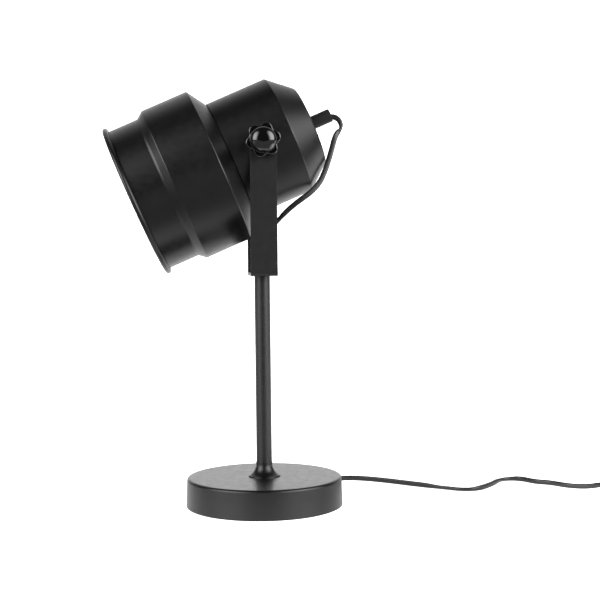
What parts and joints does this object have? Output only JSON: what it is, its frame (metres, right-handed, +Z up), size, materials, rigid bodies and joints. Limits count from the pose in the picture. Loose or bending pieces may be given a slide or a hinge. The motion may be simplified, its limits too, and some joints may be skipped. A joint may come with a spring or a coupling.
{
  "type": "tabletop searchlight lamp",
  "caption": "Black metal desk lamp: round weighted base, slim stem, U-shaped yoke and a stepped spun searchlight head on two clamp knobs, with corded in-line switch and plug.",
  "frame": {"origin": "centre of the foam pad's underside, on the table, below the stem", "axes": "+Z up along the stem; the yoke's pivot lies along Y and the head's mouth looks towards -X"},
  "size_m": [0.7011, 0.2485, 0.4884],
  "materials": {
    "black_coat": "matt black powder coat with a fine grain",
    "stem_coat": "matt black powder coat on drawn tube and bar",
    "knob_black": "glossy moulded black plastic",
    "fitting_black": "satin moulded black plastic",
    "holder_black": "moulded thermoset lampholder",
    "flex_pvc": "satin dark grey PVC sheath",
    "pad_foam": "closed-cell foam pad",
    "weight_cast": "cast ballast",
    "zinc_steel": "bright zinc plating",
    "brass": "plain brass",
    "ceramic": "unglazed ceramic",
    "bulb_glass": "frosted lamp glass",
    "cap_metal": "bright lamp cap"
  },
  "bodies": {
    "stand": {"base_pad": "pad_foam", "base_plate": "zinc_steel", "base_cover": "black_coat", "base_weight": "weight_cast", "base_gland": "fitting_black", "base_washer": "zinc_steel", "base_nut": "zinc_steel", "base_nipple": "zinc_steel", "stem_foot_bush": "zinc_steel", "stem": "stem_coat", "stem_collar": "black_coat", "stem_head_bush": "zinc_steel", "yoke": "stem_coat", "yoke_washer": "fitting_black", "yoke_nut": "fitting_black", "yoke_nipple": "zinc_steel", "cable_bush": "fitting_black", "inner_lead": "flex_pvc", "head_flex": "flex_pvc", "mains_cord_a": "flex_pvc", "mains_cord_b": "flex_pvc", "cord_coil": "flex_pvc", "coil_tie": "fitting_black", "plug_lead": "flex_pvc", "plug_body": "fitting_black", "plug_pins": "zinc_steel", "switch_base": "fitting_black", "switch_cover": "fitting_black", "switch_screws": "zinc_steel", "switch_contacts": "brass"},
    "head": {"front_shade": "black_coat", "rear_housing": "black_coat", "lampholder_cap": "holder_black", "lampholder_body": "holder_black", "lampholder_shell": "brass", "contact_block": "ceramic", "centre_contact": "brass", "lampholder_nipple": "zinc_steel", "lampholder_nut": "zinc_steel", "grip_washer": "fitting_black", "cord_grip": "fitting_black", "grip_screw": "zinc_steel", "bulb_glass": "bulb_glass", "bulb_cap": "cap_metal", "pivot_nuts": "zinc_steel", "pivot_spacers": "fitting_black", "holder_flex": "flex_pvc"},
    "knob_near": {"knob_near_grip": "knob_black", "knob_near_stud": "zinc_steel", "knob_near_washer": "fitting_black"},
    "knob_far": {"knob_far_grip": "knob_black", "knob_far_stud": "zinc_steel", "knob_far_washer": "fitting_black"},
    "rocker": {"switch_rocker": "fitting_black"}
  },
  "joints": [
    {"name": "head_tilt", "type": "hinge", "parent": "stand", "child": "head", "pos_m": [0, 0, 0.4116], "axis": [0, 1, 0], "range_deg": [-6, 70], "deforming": ["head_flex"]},
    {"name": "knob_near_turn", "type": "hinge", "parent": "head", "child": "knob_near", "pos_m": [0, -0.08, 0.4116], "axis": [0, -1, 0], "range_deg": [0, 360]},
    {"name": "knob_far_turn", "type": "hinge", "parent": "head", "child": "knob_far", "pos_m": [0, 0.08, 0.4116], "axis": [0, 1, 0], "range_deg": [0, 360]},
    {"name": "switch_rock", "type": "hinge", "parent": "stand", "child": "rocker", "pos_m": [0.45425, 0.02483, 0.012], "axis": [0.2385, 0.9711, 0], "range_deg": [0, 12]}
  ]
}
